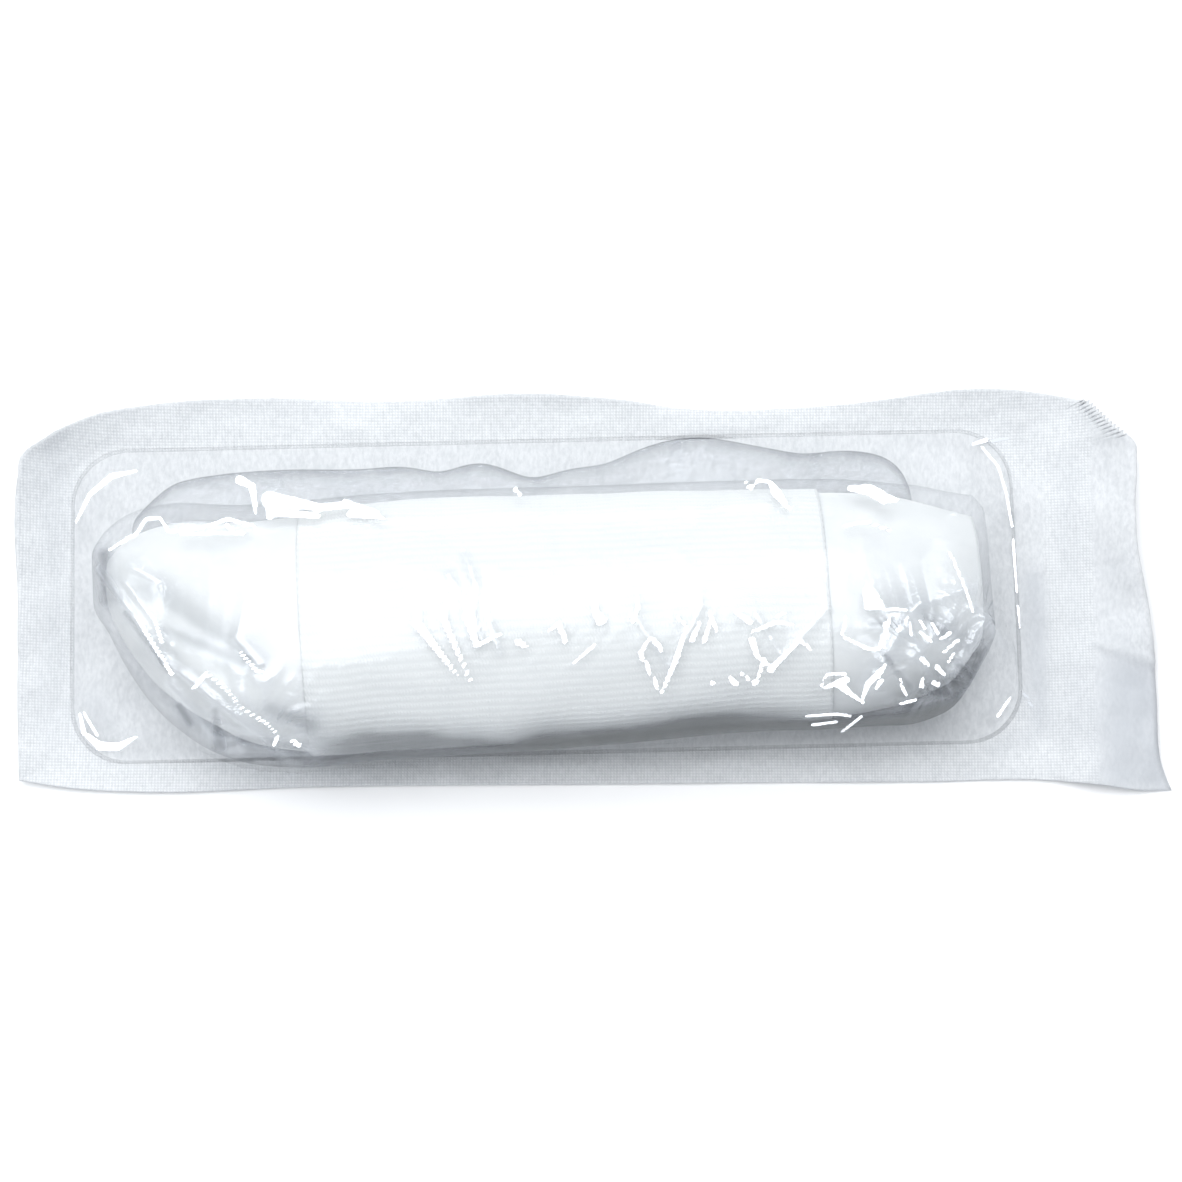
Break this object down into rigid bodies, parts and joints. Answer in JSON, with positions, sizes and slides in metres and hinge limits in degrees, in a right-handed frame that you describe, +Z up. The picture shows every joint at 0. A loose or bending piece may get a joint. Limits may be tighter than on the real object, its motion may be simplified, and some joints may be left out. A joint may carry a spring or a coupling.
{
  "type": "emergency trauma bandage sealed in its peel pack",
  "caption": "Rolled absorbent wound pad held by a crepe bandage turn, in a loose inner wrap, sealed in a soft peel pack of clear formed film on a paper web with a peel tab.",
  "frame": {"origin": "under the middle of the pack's bounding box, on the plane it lies on", "axes": "+X runs along the pack to its peel tab, +Y to its back edge, +Z up out of the paper through the roll"},
  "size_m": [0.2298, 0.0812, 0.0446],
  "materials": {
    "gauze": "matt white crepe weave",
    "pad_cloth": "matt white nonwoven cloth over soft wadding",
    "wrap_film": "thin clear crinkled film",
    "pack_film": "clear glossy formed film with a dotted heat seal",
    "paper": "pale blue-grey matt medical paper"
  },
  "bodies": {
    "root": {"bandage_core": "gauze", "bandage_turns": "gauze", "wound_pad": "pad_cloth", "inner_wrap": "wrap_film", "pack_film": "pack_film", "paper_web": "paper"}
  },
  "joints": []
}
